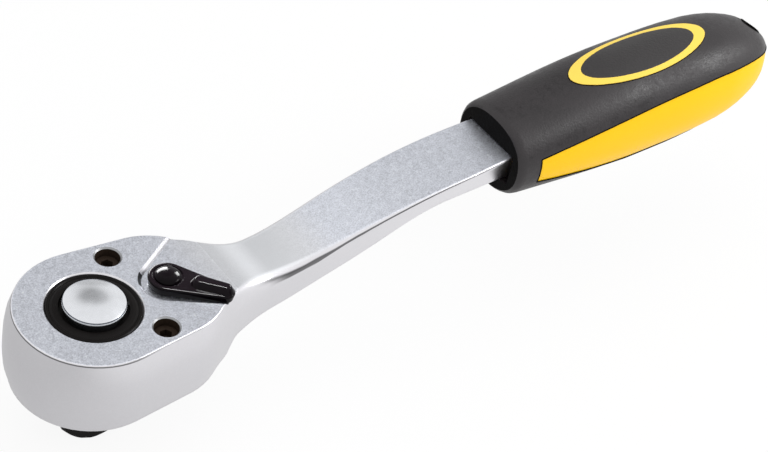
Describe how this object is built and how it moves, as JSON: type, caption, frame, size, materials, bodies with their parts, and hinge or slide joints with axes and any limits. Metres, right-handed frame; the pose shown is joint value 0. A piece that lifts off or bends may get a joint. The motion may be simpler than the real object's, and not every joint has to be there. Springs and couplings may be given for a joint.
{
  "type": "ratchet wrench",
  "caption": "Reversible square-drive ratchet wrench with a curved shank, quick-release button, reversing lever and a moulded grip with hard side panels.",
  "frame": {"origin": "on the drive axis, in the plane of the socket shoulder (the head's underside)", "axes": "+X along the handle towards the grip, +Z along the drive axis towards the release button, -Z the way a socket leaves the drive square"},
  "size_m": [0.2478, 0.0446, 0.0642],
  "materials": {
    "forged_steel": "satin, sandblasted on the top of the head",
    "polished_steel": "satin polished",
    "black_oxide": "black oxide, slightly oily",
    "lever_black": "gloss black",
    "soft_black": "soft moulded rubber, fine mottle",
    "yellow_plastic": "hard moulded plastic",
    "badge_black": "plain moulded plastic",
    "spring_steel": "bare wire",
    "seal_rubber": "moulded seal"
  },
  "bodies": {
    "handle": {"ratchet_body": "forged_steel", "cover_plate": "forged_steel", "cover_screws": "black_oxide", "thrust_washer": "spring_steel", "pawl_pin": "polished_steel", "grip_core": "yellow_plastic", "grip_cover": "soft_black", "badge_ring": "yellow_plastic", "badge_insert": "badge_black"},
    "drive": {"drive_anvil": "black_oxide", "button_snap_ring": "black_oxide", "button_spring": "spring_steel"},
    "button": {"release_button": "polished_steel", "release_stem": "polished_steel"},
    "ball": {"socket_ball": "polished_steel"},
    "lever": {"reversing_lever": "lever_black", "selector_shaft": "lever_black", "lever_o_ring": "seal_rubber", "selector_clip": "spring_steel", "selector_spring": "spring_steel"},
    "plunger": {"selector_plunger": "polished_steel"},
    "pawl": {"pawl": "black_oxide"}
  },
  "joints": [
    {"name": "drive_spin", "type": "hinge", "parent": "handle", "child": "drive", "pos_m": [0, 0, 0], "axis": [0, 0, 1], "continuous": true},
    {"name": "button_press", "type": "slide", "parent": "drive", "child": "button", "axis": [0, 0, -1], "range_m": [0, 0.0025], "stiffness_N_per_m": 3000, "springref_m": -0.002, "deforming": ["button_spring"]},
    {"name": "ball_slide", "type": "slide", "parent": "drive", "child": "ball", "axis": [0.4226, 0.9063, 0], "range_m": [0, 0.001]},
    {"name": "lever_swing", "type": "hinge", "parent": "handle", "child": "lever", "pos_m": [0.0216, 0, 0.0247], "axis": [0, 0, 1], "range_deg": [0, 96]},
    {"name": "plunger_slide", "type": "slide", "parent": "lever", "child": "plunger", "axis": [0.6691, -0.7431, 0], "range_m": [0, 0.0006], "stiffness_N_per_m": 2000, "springref_m": -0.001, "deforming": ["selector_spring"]},
    {"name": "pawl_rock", "type": "hinge", "parent": "handle", "child": "pawl", "pos_m": [0.0162, 0, 0.0095], "axis": [0, 0, 1], "range_deg": [-8, 0]}
  ],
  "couplings": [
    {"joint": "ball_slide", "follows": "button_press", "ratio": 0.4},
    {"joint": "pawl_rock", "follows": "lever_swing", "ratio": -0.083333}
  ]
}
